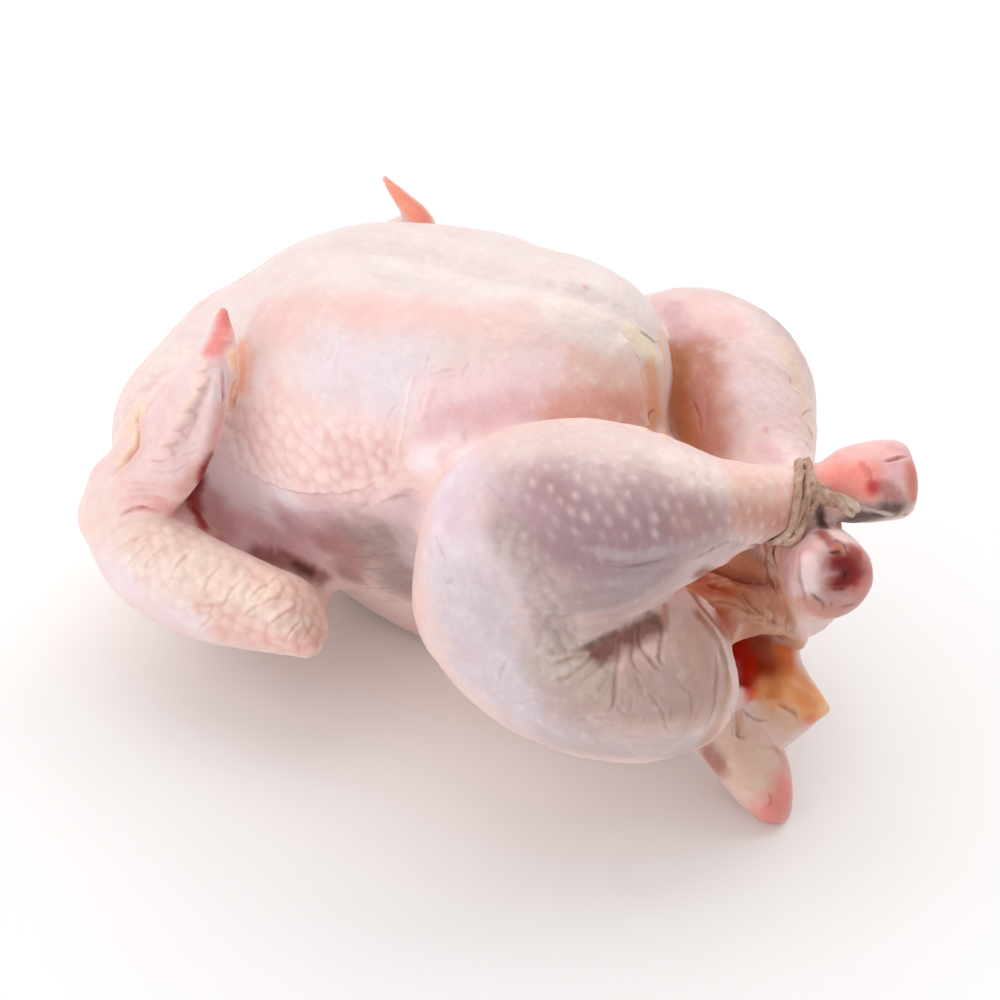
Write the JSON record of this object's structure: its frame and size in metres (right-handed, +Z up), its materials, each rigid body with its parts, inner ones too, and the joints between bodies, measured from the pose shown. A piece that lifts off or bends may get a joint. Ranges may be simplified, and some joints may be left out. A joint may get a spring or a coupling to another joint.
{
  "type": "whole raw chicken",
  "caption": "Whole raw oven-ready chicken on its back, breast up, wings folded at the sides, crossed drumsticks tied with twine over an open body cavity.",
  "frame": {"origin": "middle of the bounding box at its base, on the surface that the back lies on", "axes": "+Z up out of the breast, +X from the neck end to the tail and the tied knuckles, +Y towards the bird's left side"},
  "size_m": [0.2388, 0.1702, 0.1323],
  "materials": {
    "skin": "moist raw skin, soft sheen",
    "twine": "twisted fibre, matt"
  },
  "bodies": {
    "root": {"chicken": "skin", "twine": "twine"}
  },
  "joints": []
}
